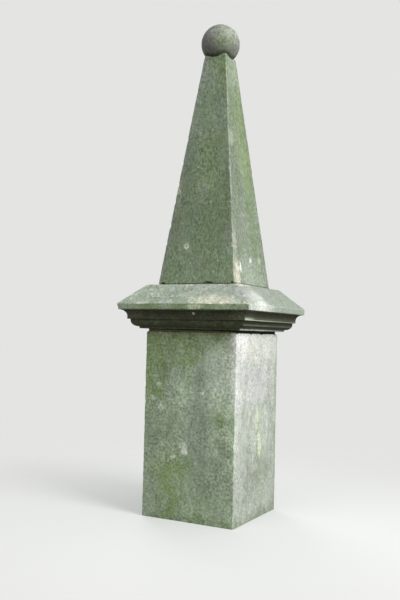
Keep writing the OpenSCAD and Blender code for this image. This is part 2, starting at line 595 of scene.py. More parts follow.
class Finish(Wiring):
    """A weathered stone's material, painted in layers from the bare stone outwards."""

    def __init__(self, name, stone):
        self.material = bpy.data.materials.new(name)
        super().__init__(self.material)
        coordinates = self.node("ShaderNodeTexCoord").outputs
        self.position = coordinates["Object"]
        self.normal = coordinates["Normal"]
        self.level = self.node("ShaderNodeSeparateXYZ", {0: self.position}).outputs[2]
        self.wear = self.node("ShaderNodeAttribute", attribute_name="wear").outputs["Fac"]
        self.colours = settings()[1]
        self.colour = getattr(self.colours, stone)
        self.hollows = 0.0

    def facing(self, direction, low=0.3, high=0.8):
        """Where the stone looks in a direction."""
        return self.use(facing_group(), Normal=self.normal, Direction=direction, Low=low, High=high)

    def moved(self, shift):
        """The position, shifted to set apart two noises of one size."""
        return self.vector("ADD", self.position, shift) if any(shift) else self.position

    def drift(self, size, stretch=1.0, low=0.45, high=0.6, shift=(0, 0, 0)):
        """Soft patches of noise of this size, drawn out upwards by the stretch, between two limits."""
        place = self.moved(shift)
        return self.use(drift_group(), Position=place, Size=size, Stretch=stretch, Low=low, High=high)

    def specks(self, size, share, reach=0.35, shift=(0, 0, 0)):
        """Scattered ragged spots, one in a share of the cells of this size."""
        return self.use(specks_group(), Position=self.moved(shift), Size=size, Share=share, Reach=reach)

    def spot(self, centre, radii, ragged=0.8, size=0.02):
        """One patch, by its centre, its radii along X, Y and Z, and how ragged its rim is, in what size."""
        return self.use(
            spot_group(), Position=self.position, Centre=centre, Radii=radii, Ragged=ragged, Size=size,
        )

    def height(self, low, high):
        """From 0 at one level to 1 at another."""
        return self.span(self.level, low, high)

    def belt(self, low, high, soft=0.002):
        """Between two levels."""
        return self.between(self.level, low, high, soft)

    def beside(self, arris, reach):
        """Within this reach of an upright arris. arris is the direction away from it, level and diagonal."""
        return self.span(self.measure("DOT_PRODUCT", self.position, arris), 0.0, reach, 1.0, 0.0)

    def both(self, *masks):
        """Where all masks are."""
        return self.times(*masks)

    def either(self, *masks):
        """Where any mask is."""
        return reduce(partial(self.math, "MAXIMUM"), masks)

    def without(self, mask):
        """Where a mask is not."""
        return self.math("SUBTRACT", 1.0, mask)

    def paint(self, colour, strength, *masks):
        """Lay one of the settings' colours over what is there, where all masks are."""
        share = self.times(*masks, strength)
        self.colour = self.blend(share, self.colour, getattr(self.colours, colour))

    def shade(self, factor, *masks):
        """Make what is there lighter or darker by a factor, where all masks are."""
        self.colour = self.scaled(self.colour, self.ramp(self.both(*masks), 1.0, factor))

    def mottle(self, size, depth, stretch=1.0, shift=(0, 0, 0)):
        """Make what is there lighter and darker in patches, by up to the depth."""
        patches = self.drift(size, stretch, 0.3, 0.7, shift)
        self.colour = self.scaled(self.colour, self.ramp(patches, 1 - depth, 1 + depth))

    def pit(self, size, share, reach=0.35, factor=0.35, shift=(0, 0, 0)):
        """Small open pits, dark inside, and deeper where they are larger."""
        pits = self.specks(size, share, reach, shift)
        depth = size * 40
        self.shade(factor, pits)
        self.hollows = self.math("ADD", self.times(pits, depth), self.hollows)

    def near_shaft(self, reach):
        """Within this reach of the shaft's four tapering faces, as seen from outside them."""
        low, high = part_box("shaft")
        head_half = settings()[0].shaft_head_width / 2
        taper = (high.x - head_half) / (high.z - low.z)
        part = self.node("ShaderNodeSeparateXYZ", {0: self.vector("ABSOLUTE", self.position)}).outputs
        out = self.math("MAXIMUM", part[0], part[1])
        half = self.math("MULTIPLY_ADD", self.level, -taper, head_half + taper * high.z)
        return self.span(self.math("SUBTRACT", out, half), 0.0, reach, 1.0, 0.0)

    def grain(self, size, depth, washed_depth=None, relief=0.0014, stretch=1.0):
        """Finish the stone with its sandy grain, and with the bump and roughness that go with it."""
        drawn = self.vector("DIVIDE", self.position, (1, 1, stretch))
        grains = self.place(grain_group(), Position=drawn, Size=size)
        if washed_depth is not None:
            depth = self.ramp(self.facing(RIGHT), depth, washed_depth)
        uneven = self.ramp(self.drift(0.10, 1.3, 0.3, 0.7, (8, 8, 1)), 0.6, 1.4)
        swing = self.times(self.ramp(grains["Tone"], -1.0, 1.0), uneven, depth)
        grey = self.node("ShaderNodeRGBToBW", {0: self.colour}).outputs[0]
        muted = self.blend(0.28, self.colour, grey)
        self.colour = self.vector("ADD", self.colour, self.scaled(muted, swing))
        height = self.math("SUBTRACT", grains["Relief"], self.hollows)
        bump = self.node("ShaderNodeBump", {"Height": height, "Distance": relief, "Strength": 1.0})
        roughness = self.ramp(grains["Tone"], 0.95, 0.82)
        shader = self.node("ShaderNodeBsdfPrincipled", {
            "Base Color": self.colour, "Roughness": roughness, "Normal": bump.outputs["Normal"],
            "Specular IOR Level": 0.25,
        })
        self.node("ShaderNodeOutputMaterial", {"Surface": shader.outputs[0]})
        return self.material


# Materials

def start_stone(name, damp_side, washed_and_sunlit_side):
    """Start a stone that is darker on its damp sides than on the one that rain and sun reach."""
    finish = Finish(name, damp_side)
    finish.paint(washed_and_sunlit_side, 1.0, finish.facing(RIGHT))
    return finish


def die_material():
    """The die: mottled, green at the left of the front, with a whitish bloom high on the right side."""
    low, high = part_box("die")
    top = high.z
    front = low.y
    side = high.x
    finish = start_stone("weathered_die", "die_stone", "washed_and_sunlit_stone")
    paint, shade, spot, drift = finish.paint, finish.shade, finish.spot, finish.drift
    specks, height, either, worn = finish.specks, finish.height, finish.either, finish.wear
    right = finish.facing(RIGHT)
    damp = finish.without(right)
    finish.mottle(0.11, 0.12, 1.3)
    finish.mottle(0.032, 0.18, 1.4, (1, 2, 3))
    # Damp sides
    violet = spot((0.06, front, 0.46), (0.09, 0.1, 0.38), 0.9, 0.06)
    paint("violet_stone", 0.35, damp, either(drift(0.09, 1.5, 0.5, 0.66, (4, 4, 0)), violet))
    paint("cool_film", 0.2, damp, drift(0.1, 1.5, 0.5, 0.66, (6, 2, 5)))
    paint("washed_and_sunlit_stone", 0.4, spot((0.17, front, 0.76), (0.12, 0.05, 0.2), 0.9, 0.06))
    green = spot((0.17, front, 0.5), (0.04, 0.1, 0.06), 1.0, 0.04)
    paint("algae", 0.5, damp, either(drift(0.12, 1.6, 0.56, 0.68, (1, 7, 3)), green))
    light_green = either(
        spot((-0.20, front, 0.74), (0.12, 0.1, 0.26), 1.2, 0.08),
        spot((-0.04, front, 0.82), (0.18, 0.1, 0.10), 1.2, 0.07),
        spot((-0.09, front, 0.20), (0.14, 0.1, 0.19), 1.1, 0.07),
    )
    paint("light_algae", 0.75, damp, light_green, drift(0.03, 1.6, 0.3, 0.55, (1, 0, 4)))
    paint("algae", 0.22, spot((-0.19, front, 0.74), (0.10, 0.05, 0.20), 1.0, 0.05))
    for centre, radii, factor in (
        ((0.18, front, 0.66), (0.12, 0.05, 0.30), 1.15),
        ((-0.01, front, 0.67), (0.06, 0.05, 0.12), 1.15),
        ((-0.20, front, 0.45), (0.10, 0.05, 0.22), 0.89),
        ((0.08, front, 0.22), (0.10, 0.05, 0.14), 0.91),
        ((-0.06, front, 0.19), (0.07, 0.05, 0.10), 1.12),
        ((0.24, front, 0.38), (0.04, 0.05, 0.22), 1.17),
        ((side, -0.22, 0.38), (0.05, 0.06, 0.22), 1.07),
        ((side, -0.12, 0.23), (0.05, 0.13, 0.11), 0.91),
        ((side, 0.17, 0.20), (0.05, 0.07, 0.16), 1.05),
        ((-0.13, front, 0.72), (0.08, 0.05, 0.07), 0.86),
        ((0.00, front, 0.655), (0.06, 0.05, 0.07), 1.12),
        ((0.12, front, 0.62), (0.08, 0.05, 0.16), 1.08),
        ((0.215, front, 0.53), (0.06, 0.05, 0.07), 1.07),
        ((-0.19, front, 0.42), (0.06, 0.05, 0.16), 0.92),
    ):
        shade(factor, spot(centre, radii, 0.8, 0.06))
    # Black crust and painted shade along the top of the damp sides, under the cornice.
    paint("soot_and_shade", 0.5, damp, height(top - 0.05, top - 0.004), drift(0.05, 1.5, 0.34, 0.62, (5, 5, 5)))
    paint("brown_crust", 0.6, damp, height(top - 0.022, top - 0.008))
    for across, width, drop in ((0.0, 0.012, 0.03), (0.145, 0.022, 0.035), (-0.09, 0.02, 0.03)):
        paint("soot_and_shade", 0.55, spot((across, front, top - drop * 0.6), (width, 0.05, drop), 0.8, 0.02))
    paint("pale_violet", 0.5, spot((0.24, front, 0.875), (0.06, 0.04, 0.07), 0.9, 0.03))
    paint("olive_film", 0.32, damp, height(top - 0.12, top - 0.03))
    paint("light_algae", 0.12, damp, height(0.62, 0.5))
    under_joint = finish.both(damp, height(top - 0.10, top - 0.04))
    paint("light_algae", 0.3, under_joint)
    shade(1.05, under_joint)
    paint("pale_stone", 0.35, damp, specks(0.022, 0.35, 0.4))
    paint("lichen", 0.45, damp, specks(0.06, 0.12, 0.22, (3, 0, 1)))
    for centre, radius, strength in (
        ((-0.018, front, 0.336), 0.026, 0.95),
        ((-0.026, front, 0.362), 0.034, 0.45),
        ((-0.079, front, 0.306), 0.018, 0.6),
        ((-0.156, front, 0.545), 0.026, 0.4),
        ((-0.201, front, 0.582), 0.016, 0.45),
        ((-0.17, front, 0.651), 0.018, 0.4),
        ((0.071, front, 0.621), 0.014, 0.5),
    ):
        paint("lichen", strength, spot(centre, (radius, 0.03, radius), 1.3, radius * 0.6))
    # Washed side: rain-washed stone and whitish crust, with painted sunlight high up
    bloom_and_sunlight = either(
        spot((side, -0.05, 0.96), (0.5, 1.2, 0.27), 0.8, 0.06),
        spot((side, -0.17, 0.84), (0.1, 0.12, 0.17), 0.7, 0.05),
    )
    paint("bloom_and_sunlight", 0.6, right, bloom_and_sunlight)
    paint("bloom_and_sunlight", 0.8, spot((side, -0.19, 0.88), (0.05, 0.13, 0.13), 0.8, 0.05))
    paint("bloom_and_sunlight", 0.75, spot((side, -0.21, 0.69), (0.05, 0.08, 0.27), 0.7, 0.05))
    paint("bloom_and_sunlight", 0.3, spot((side, 0.0, 0.66), (0.05, 0.26, 0.12), 1.0, 0.06))
    paint("pale_violet", 0.35, spot((side, 0.0, 0.66), (0.05, 0.22, 0.14), 1.0, 0.06))
    # Painted shade: the right side darker towards the bottom.
    shade(0.84, right, height(0.5, 0.0))
    paint("violet_stone", 0.25, right, drift(0.12, 1.4, 0.46, 0.62, (0, 3, 0)))
    paint("algae", 0.35, right, spot((side, 0.255, 0.5), (0.05, 0.05, 1.0), 0.5))
    paint("algae", 0.25, right, spot((side, 0.06, 0.2), (0.1, 0.13, 0.18), 0.9, 0.05))
    paint("cream_and_sunlight", 0.25, spot((side, -0.08, 0.83), (0.05, 0.09, 0.08), 1.8, 0.03))
    paint("pale_stone", 0.45, right, spot((side, -0.2, 0.35), (0.05, 0.08, 0.4), 0.8, 0.05))
    for centre, radii in (
        ((side, 0.0, 0.485), (0.03, 0.026, 0.07)),
        ((side, 0.03, 0.40), (0.03, 0.024, 0.035)),
        ((side, 0.04, 0.345), (0.03, 0.030, 0.06)),
    ):
        paint("moss", 0.7, spot(centre, radii, 0.6, 0.02))
    paint("pale_stone", 0.3, right, drift(0.05, 1.3, 0.5, 0.62, (5, 0, 2)))
    shade(0.88, right, drift(0.045, 1.2, 0.52, 0.64, (0, 5, 2)))
    paint("brown_crust", 0.25, spot((side, 0.02, 0.2), (0.1, 0.07, 0.05), 0.9, 0.04))
    paint("pale_stone", 0.3, spot((side, 0.13, 0.11), (0.1, 0.1, 0.1), 0.9, 0.04))
    pitted = finish.both(right, height(0.70, 0.74))
    paint("brown_crust", 0.6, pitted, specks(0.015, 0.35, 0.38, (7, 7, 7)))
    shade(0.5, pitted, specks(0.009, 0.25, 0.35, (1, 7, 7)))
    # Foot, edges and joint
    paint("algae", 0.4, height(0.07, 0.0), drift(0.05, 1.0, 0.3, 0.6, (8, 1, 0)))
    shade(1.25, worn, damp)
    shade(1.08, worn, right)
    shade(0.9, worn, finish.beside((-1, 1, 0), 0.1), height(0.5, 0.64))
    # Black crust and painted shade on the die's top, in the joint under the cornice.
    paint("soot_and_shade", 0.9, finish.facing(UP), height(top - 0.006, top - 0.002))
    finish.pit(0.010, 0.3, 0.35, 0.5)
    finish.pit(0.028, 0.12, 0.2, 0.4, (2, 1, 0))
    return finish.grain(0.0125, 0.32, 0.19)


def cornice_material():
    """The cornice: pale and lichened on its slope, green along the slab's edge, sooty in the mouldings."""
    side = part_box("cornice")[1].x
    foot, fillet_top, neck_foot, band_foot, band_top, slab_level, slope_level = cornice_levels()
    finish = start_stone("weathered_cornice", "die_stone", "washed_and_sunlit_stone")
    paint, shade, spot, drift, height = finish.paint, finish.shade, finish.spot, finish.drift, finish.height
    belt, either, without, both = finish.belt, finish.either, finish.without, finish.both
    up = finish.facing(UP, 0.3, 0.6)
    right = finish.facing(RIGHT, 0.2, 0.5)
    damp = without(right)
    finish.mottle(0.09, 0.12)
    finish.mottle(0.028, 0.10, 1.0, (1, 2, 3))
    # Sloping top
    paint("top_stone", 0.85, up)
    # Painted shade: the slope darker where it faces right.
    shade(0.8, up, right)
    paint("violet_stone", 0.3, up, drift(0.09, 1.0, 0.46, 0.62, (4, 4, 0)))
    paint("violet_stone", 0.35, spot((0.25, -0.29, 1.115), (0.08, 0.05, 0.06), 0.9, 0.04))
    paint("algae", 0.25, up, drift(0.06, 1.0, 0.5, 0.64))
    paint("lichen", 0.25, up, damp, drift(0.045, 1.0, 0.5, 0.64, (2, 2, 2)))
    paint("lichen", 0.25, up, damp, finish.specks(0.035, 0.3, 0.35))
    paint("pale_violet", 0.4, spot((0.30, -0.30, 1.10), (0.05, 0.05, 0.05), 0.8, 0.03))
    # Painted sunlight, partly whitish crust: a pale patch over the near corner of the slope and the slab's
    # edge.
    white = either(
        spot((0.33, -0.200, 1.075), (0.09, 0.12, 0.065), 0.9, 0.035),
        spot((0.36, -0.225, 1.030), (0.05, 0.20, 0.060), 0.8, 0.03),
    )
    paint("violet_stone", 0.35, up, spot((0.28, -0.12, 1.12), (0.06, 0.16, 0.05), 0.9, 0.04))
    paint("bloom_and_sunlight", 0.36, white, up)
    paint("bloom_and_sunlight", 0.3, white, without(up), right)
    paint("bloom_and_sunlight", 0.45, spot((0.355, -0.20, 1.045), (0.03, 0.07, 0.03), 0.8, 0.03))
    paint("lichen", 0.1, spot((0.29, -0.17, 1.115), (0.08, 0.14, 0.04), 0.9, 0.03))
    # Pale yellowish crust, partly painted sunlight, at the near corner, on the front slope and along the
    # front edge.
    paint("cream_and_sunlight", 0.6, spot((0.36, -0.25, 1.019), (0.03, 0.14, 0.010), 0.6, 0.02))
    paint("cream_and_sunlight", 0.42, spot((0.17, -0.335, 1.066), (0.14, 0.04, 0.034), 1.0, 0.03))
    paint("cream_and_sunlight", 0.45, spot((0.21, -0.356, 1.050), (0.20, 0.02, 0.010), 0.8, 0.03))
    paint("cream_and_sunlight", 0.6, spot((0.25, -0.235, 1.143), (0.03, 0.04, 0.018), 0.6, 0.02))
    paint("cream_and_sunlight", 0.4, spot((0.25, -0.18, 1.143), (0.03, 0.08, 0.010), 0.6, 0.02))
    paint("moss", 0.22, spot((0.09, -0.345, 1.058), (0.09, 0.03, 0.020), 1.0, 0.03))
    # Lighter and darker spots on the slope; the last three shape the painted sunlit patch at the near corner.
    for centre, radii, factor in (
        ((-0.06, -0.295, 1.108), (0.09, 0.05, 0.036), 0.86),
        ((0.025, -0.33, 1.070), (0.04, 0.03, 0.022), 0.92),
        ((0.06, -0.30, 1.100), (0.035, 0.03, 0.02), 1.1),
        ((0.305, -0.262, 1.096), (0.06, 0.06, 0.034), 0.9),
        ((0.360, -0.315, 1.040), (0.04, 0.05, 0.030), 0.9),
        ((0.305, -0.150, 1.090), (0.05, 0.05, 0.030), 1.07),
    ):
        shade(factor, spot(centre, radii, 0.8, 0.03))
    # Upright edge of the slab
    edge = both(without(up), belt(slab_level, slope_level - 0.002))
    paint("algae", 0.6, edge, damp, drift(0.09, 0.6, 0.3, 0.56, (4, 0, 0)))
    paint("violet_stone", 0.3, spot((0.30, -side, 1.03), (0.11, 0.03, 0.04), 0.8, 0.03))
    paint("olive_film", 0.2, edge, damp)
    shade(0.94, edge, spot((0.0, -side, 1.03), (0.24, 0.03, 0.06), 0.5, 0.03))
    shade(1.14, spot((0.27, -side, 1.03), (0.11, 0.03, 0.05), 0.8, 0.03))
    paint("moss", 0.5, edge, spot((0.077, -side, 1.03), (0.06, 0.03, 0.02), 0.8, 0.02))
    # Painted shade: the slab's edge darker where it faces right, outside the pale corner patch.
    plain_edge = both(edge, right, without(white))
    paint("top_stone", 0.9, plain_edge)
    shade(0.88, plain_edge)
    paint("top_stone", 0.5, spot((-0.32, -side, 1.03), (0.13, 0.03, 0.05), 0.8, 0.04))
    paint("soot_and_shade", 0.3, edge, belt(slab_level - 0.002, slab_level + 0.004, 0.003), damp)
    # Mouldings: black crust, with painted shade under the slab, at the top of the hollow and in the recesses
    # under the band and the round
    under = both(without(up), height(slab_level + 0.001, slab_level - 0.002))
    paint("soot_and_shade", 0.9, under, damp)
    paint("brown_soot_and_shade", 0.6, under, damp, drift(0.06, 0.5, 0.42, 0.56, (0, 6, 0)))
    paint("algae", 0.25, under, damp, drift(0.08, 0.5, 0.5, 0.64, (3, 6, 0)))
    for across in (-0.29, 0.32):
        paint("brown_crust", 0.3, under, damp, spot((across, -0.33, 0.995), (0.09, 0.05, 0.03), 0.9, 0.03))
    shade(1.15, under, damp, spot((0.26, -0.33, 0.99), (0.10, 0.05, 0.03), 0.8, 0.03))
    shade(1.35, under, damp, either(belt(band_foot + 0.001, band_foot + 0.005), belt(foot, foot + 0.006)))
    # Painted shade: the front hollow darker under the slab.
    shade(0.8, under, damp, belt(band_foot, slab_level))
    near_corner = spot((side, -0.31, band_top), (0.2, 0.12, 0.1), 0.4, 0.04)
    shaded_crevices = either(belt(neck_foot - 0.010, band_foot), belt(fillet_top, fillet_top + 0.012))
    moulding = both(under, right)
    band_dirt_and_shade = both(without(near_corner), height(band_foot + 0.003, band_foot + 0.007))
    # Painted shade, partly black crust: the top of the hollow under the slab, the recesses under the band and
    # the round, and the band away from the near corner.
    paint("soot_and_shade", 0.92, moulding, height(band_top - 0.012, band_top + 0.006))
    paint("soot_and_shade", 0.9, moulding, either(shaded_crevices, band_dirt_and_shade))
    paint("soot_and_shade", 0.8, moulding, belt(fillet_top, band_foot))
    paint("olive_film", 0.15, moulding)
    shade(0.3, moulding, shaded_crevices)
    shade(0.72, moulding, height(band_top - 0.002, band_top + 0.006))
    shade(1.5, moulding, belt(foot, fillet_top - 0.001))
    paint("soot_and_shade", 0.35, moulding, spot((side, 0.25, 0.95), (0.3, 0.34, 0.2), 0.4, 0.05))
    paint("moss", 0.8, spot((0.056, -0.323, 1.0), (0.009, 0.02, 0.009), 0.4, 0.01))
    shade(1.1, finish.wear, without(under))
    finish.pit(0.012, 0.4)
    finish.pit(0.03, 0.25, 0.22, 0.3, (2, 1, 0))
    return finish.grain(0.012, 0.26, 0.21)


def shaft_material():
    """The shaft: finely mottled, green down the right side, worn pale along the near arris."""
    finish = start_stone("weathered_shaft", "shaft_stone", "shaft_washed_and_sunlit")
    paint, shade, spot, drift = finish.paint, finish.shade, finish.spot, finish.drift
    height, belt, beside = finish.height, finish.belt, finish.beside
    right = finish.facing(RIGHT)
    damp = finish.without(right)
    finish.mottle(0.14, 0.06, 1.5)
    finish.mottle(0.03, 0.07, 1.8, (1, 2, 3))
    # Damp sides
    paint("algae", 0.3, damp, drift(0.2, 1.5, 0.42, 0.62, (6, 2, 1)))
    paint("violet_stone", 0.28, damp, drift(0.1, 2.0, 0.5, 0.66, (4, 4, 0)))
    paint("olive_film", 0.38, damp, drift(0.07, 1.5, 0.54, 0.68, (9, 3, 1)))
    paint("cool_film", 0.28, damp, drift(0.08, 1.6, 0.5, 0.66, (2, 5, 8)))
    left_strip = finish.both(finish.facing(FRONT), beside(FROM_LEFT_ARRIS, 0.06))
    paint("violet_stone", 0.35, left_strip)
    shade(0.93, left_strip, height(1.7, 1.5))
    paint("pale_stone", 0.3, damp, finish.specks(0.022, 0.3, 0.35))
    paint("lichen", 0.4, damp, finish.specks(0.07, 0.1, 0.16, (3, 0, 1)))
    ring_centre = (-0.068, -0.191, 1.339)
    paint("lichen", 0.7, spot(ring_centre, (0.020, 0.04, 0.019), 0.35, 0.012))
    paint("shaft_stone", 0.7, spot(ring_centre, (0.010, 0.04, 0.009), 0.3, 0.008))
    paint("moss", 0.3, spot((-0.144, -0.152, 1.63), (0.02, 0.05, 0.03), 0.9, 0.02))
    # Washed side: rain-washed stone, partly painted sunlight
    paint("algae", 0.4, right, spot((0.15, 0.07, 1.62), (0.12, 0.075, 0.6), 0.8, 0.07))
    paint("algae", 0.25, right, drift(0.08, 3.0, 0.46, 0.62, (2, 9, 1)))
    paint("violet_stone", 0.24, right, drift(0.07, 2.5, 0.5, 0.66, (7, 1, 1)))
    paint("washed_and_sunlit_stone", 0.25, right, spot((0.2, 0.0, 1.2), (0.1, 0.2, 0.13), 0.7, 0.05))
    # Painted sunlight, partly pale yellowish crust, in a strip beside the near arris.
    paint("cream_and_sunlight", 0.72, spot((0.206, -0.168, 1.20), (0.03, 0.042, 0.12), 1.0, 0.02))
    paint("cream_and_sunlight", 0.32, spot((0.188, -0.165, 1.36), (0.03, 0.030, 0.09), 1.0, 0.02))
    paint("violet_stone", 0.32, damp, spot((0.165, -0.19, 1.39), (0.05, 0.05, 0.13), 0.8, 0.04))
    paint("lichen", 0.9, spot((0.204, -0.123, 1.237), (0.02, 0.014, 0.036), 0.6, 0.012))
    paint("lichen", 0.7, spot((0.198, 0.002, 1.279), (0.02, 0.020, 0.020), 0.6, 0.012))
    paint("moss", 0.32, spot((0.197, 0.111, 1.286), (0.02, 0.02, 0.024), 0.7, 0.012))
    paint("light_algae", 0.37, right, spot((0.12, 0.015, 1.88), (0.1, 0.12, 0.33), 0.5, 0.05))
    shade(0.9, right, belt(1.8, 2.1, 0.08))
    shade(1.16, right, height(2.12, 2.24))
    paint("algae", 0.28, right, belt(2.0, 2.18, 0.05))
    shade(0.9, damp, belt(1.36, 1.62, 0.08))
    for face, centre, radii, factor in (
        (damp, (-0.09, -0.135, 1.71), (0.055, 0.06, 0.26), 0.87),
        (damp, (0.03, -0.146, 1.67), (0.07, 0.05, 0.09), 1.08),
        (damp, (0.13, -0.145, 1.70), (0.03, 0.05, 0.18), 0.87),
        (damp, (0.170, -0.200, 1.25), (0.045, 0.05, 0.13), 1.12),
        (right, (0.14, -0.045, 1.68), (0.05, 0.050, 0.17), 0.82),
        (right, (0.125, 0.05, 1.84), (0.05, 0.045, 0.08), 1.1),
    ):
        shade(factor, face, spot(centre, radii, 0.6, 0.05))
    shade(0.92, right, beside(FROM_NEAR_ARRIS, 0.16))
    shade(0.88, right, beside(FROM_NEAR_ARRIS, 0.10), belt(1.5, 1.85, 0.08))
    shade(0.9, spot((0.13, -0.15, 1.66), (0.04, 0.05, 0.09), 0.8, 0.03))
    # Arrises and foot: the pale line along the near arris is partly wear and partly a painted highlight
    arris_line_patches = drift(0.06, 2.5, 0.36, 0.6, (3, 3, 9))
    paint("pale_stone", 0.28, right, beside(FROM_NEAR_ARRIS, 0.022), height(2.25, 2.1), arris_line_patches)
    paint("pale_stone", 0.35, right, spot((0.117, -0.09, 1.895), (0.04, 0.035, 0.07), 0.8, 0.03))
    paint("pale_stone", 0.15, finish.wear, right, height(2.3, 2.0))
    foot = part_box("shaft")[0].z
    # Black crust and painted shade along the shaft's foot and in the gaps there.
    paint("soot_and_shade", 0.6, right, height(foot + 0.007, foot + 0.003))
    for across, width in ((-0.185, 0.02), (0.068, 0.036), (0.2, 0.012)):
        paint("soot_and_shade", 0.9, spot((across, -0.212, foot), (width, 0.03, 0.014), 0.6, 0.01))
    shade(1.1, finish.wear, damp)
    finish.pit(0.010, 0.4)
    finish.pit(0.026, 0.12, 0.2, 0.4, (2, 1, 0))
    return finish.grain(0.011, 0.29, 0.28, stretch=1.5)


def ball_material():
    """The ball: grey-violet above, greenish in the middle, dark below and along its seat."""
    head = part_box("shaft")[1].z
    finish = start_stone("weathered_ball", "ball_stone", "ball_stone")
    paint, drift, facing = finish.paint, finish.drift, finish.facing
    finish.mottle(0.06, 0.16)
    finish.mottle(0.02, 0.14, 1.0, (1, 2, 3))
    paint("violet_stone", 0.6, drift(0.05, 1.0, 0.42, 0.56, (4, 4, 0)))
    paint("algae", 0.4, facing((0.62, -0.78, -0.1), 0.4, 0.95), drift(0.05, 1.0, 0.36, 0.56))
    paint("violet_stone", 0.65, facing((-0.6, -0.78, 0.15), 0.3, 0.85), drift(0.04, 1.0, 0.3, 0.6, (3, 0, 6)))
    paint("violet_stone", 0.5, finish.spot((0.069, -0.054, 2.369), (0.024, 0.024, 0.032), 0.9, 0.02))
    # Painted highlight at the upper right.
    paint("pale_stone", 0.28, facing((0.85, -0.1, 0.5), 0.5, 0.95), drift(0.03, 1.0, 0.3, 0.6, (3, 0, 2)))
    # Painted shade on the lower parts that face the front and the right.
    finish.shade(0.84, facing((0.32, -0.62, -0.72), 0.75, 0.98))
    finish.shade(0.82, facing((0.75, 0.08, -0.65), 0.5, 0.95))
    # Brownish crust and painted shade on the lower left.
    paint("brown_soot_and_shade", 0.37, facing((-0.62, -0.28, -0.73), -0.1, 0.75), drift(0.06, 1.0, 0.1, 0.45))
    # Black crust and painted shade in the crease along the seat.
    paint("soot_and_shade", 0.35, finish.height(head + 0.012, head - 0.012))
    paint("soot_and_shade", 0.7, finish.near_shaft(0.020), finish.height(head + 0.025, head + 0.008))
    paint("lichen", 0.2, finish.specks(0.03, 0.2, 0.3))
    finish.pit(0.010, 0.4)
    return finish.grain(0.012, 0.25)


def mortar_material():
    """The mortar: dark and gritty where it is washed out, brownish where it still fills the joint."""
    finish = Finish("washed_mortar", "mortar")
    finish.paint("soot_and_shade", 0.6, finish.drift(0.03))
    finish.paint("brown_crust", 0.85, finish.wear)
    return finish.grain(0.006, 0.4, relief=0.002)


# Pieces

class StoneOperator(Operator):
    """What the operators of all pieces share."""

    bl_options = {"REGISTER", "UNDO"}


class OBELISK_OT_die(StoneOperator):
    """Model the die, an upright square block"""

    bl_idname = "obelisk.die"
    bl_label = "Die"

    def execute(self, context):
        sizes = settings()[0]
        low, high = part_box("die")
        half = high.x
        inner = half - sizes.cap_inset
        outline = [(inner, low.z), (half, low.z), (half, high.z), (inner, high.z)]
        bm = square_stone(outline, sizes.edge_rounding, sizes.mesh_spacing, columns=108)
        worn = worn_reach(ease=0.003, chip=0.004, seed=3.1)
        crisp_reach = 0.0018

        def reach_at(corner, level):
            crisp = corner == FRONT_RIGHT and 0.58 < level < 0.88
            return crisp_reach if crisp else worn(corner, level)

        ease_arrises(bm, reach_at)
        roughen(bm, [(0.22, 0.0016), (0.05, 0.0010), (0.014, 0.0006)], seed=1.0, beds=(low.z, high.z))
        flakes = flakes_up(half, low.z, half, high.z, count=11, depth=0.0048, seed=11)
        flakes += flakes_round(half, high.z, rise=1, count=9, depth=0.007, seed=21)
        # The two upper corners of the right side
        flakes.append((Vector((half + 0.012, -half - 0.012, high.z + 0.020)), 0.032))
        flakes.append((Vector((half + 0.012, half + 0.004, high.z + 0.014)), 0.026))
        knock_off(bm, flakes)
        finish_piece(bm, "worn_die", "die", die_material())
        return {"FINISHED"}


class OBELISK_OT_cornice(StoneOperator):
    """Model the cornice, with its mouldings mitred round the four corners"""

    bl_idname = "obelisk.cornice"
    bl_label = "Cornice"

    def execute(self, context):
        low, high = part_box("cornice")
        slab_half = high.x
        slab_foot, slope_foot = cornice_levels()[-2:]
        bm = square_stone(cornice_outline(), settings()[0].edge_rounding, spacing=0.0040, columns=132)
        slab_reach = worn_reach(ease=0.004, chip=0.004, seed=7.7)
        moulding_reach = worn_reach(ease=0.002, chip=0.002, seed=8.8)
        crisp_reach = 0.0015

        def reach_at(corner, level):
            if level < slab_foot - 0.001:
                return moulding_reach(corner, level)
            return crisp_reach if corner == FRONT_LEFT else slab_reach(corner, level)

        ease_arrises(bm, reach_at)
        layers = [(0.18, 0.0010), (0.04, 0.0007), (0.013, 0.0005)]
        roughen(bm, layers, seed=2.0, inwards=1, beds=(low.z, high.z))
        flakes = flakes_round(slab_half, slope_foot, rise=1, count=14, depth=0.004, seed=31)
        flakes += flakes_round(slab_half, slab_foot, rise=-1, count=14, depth=0.006, seed=41)
        # The underside of the front left corner
        flakes.append((Vector((-slab_half - 0.033, -slab_half - 0.033, slab_foot - 0.0105)), 0.059))
        knock_off(bm, flakes)
        finish_piece(bm, "worn_cornice", "cornice", cornice_material())
        return {"FINISHED"}


def cornice_outline():
    """The cornice's outline as (half width, level) points, from the fillet up to the ledge."""
    sizes = settings()[0]
    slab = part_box("cornice")[1].x
    hollow = slab - sizes.hollow_step
    band = hollow - sizes.hollow_radius
    neck = band - sizes.band_step
    bead = neck - sizes.round_radius
    fillet = bead - sizes.fillet_step
    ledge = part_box("shaft")[1].x + sizes.ledge_width
    foot, bead_level, neck_level, band_level, hollow_level, slab_level, slope_level = cornice_levels()
    ledge_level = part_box("cornice")[1].z
    return [
        (fillet - sizes.cap_inset, foot),
        (fillet, foot),
        (fillet, bead_level),
        *quarter_arc((bead, neck_level), sizes.round_radius, -math.pi / 2, steps=9),
        (neck, band_level),
        (band, band_level),
        *quarter_arc((hollow, hollow_level), sizes.hollow_radius, math.pi / 2, steps=9)[::-1],
        (slab, slab_level),
        (slab, slope_level),
        (ledge, ledge_level),
        (ledge - 2 * sizes.cap_inset, ledge_level),
    ]


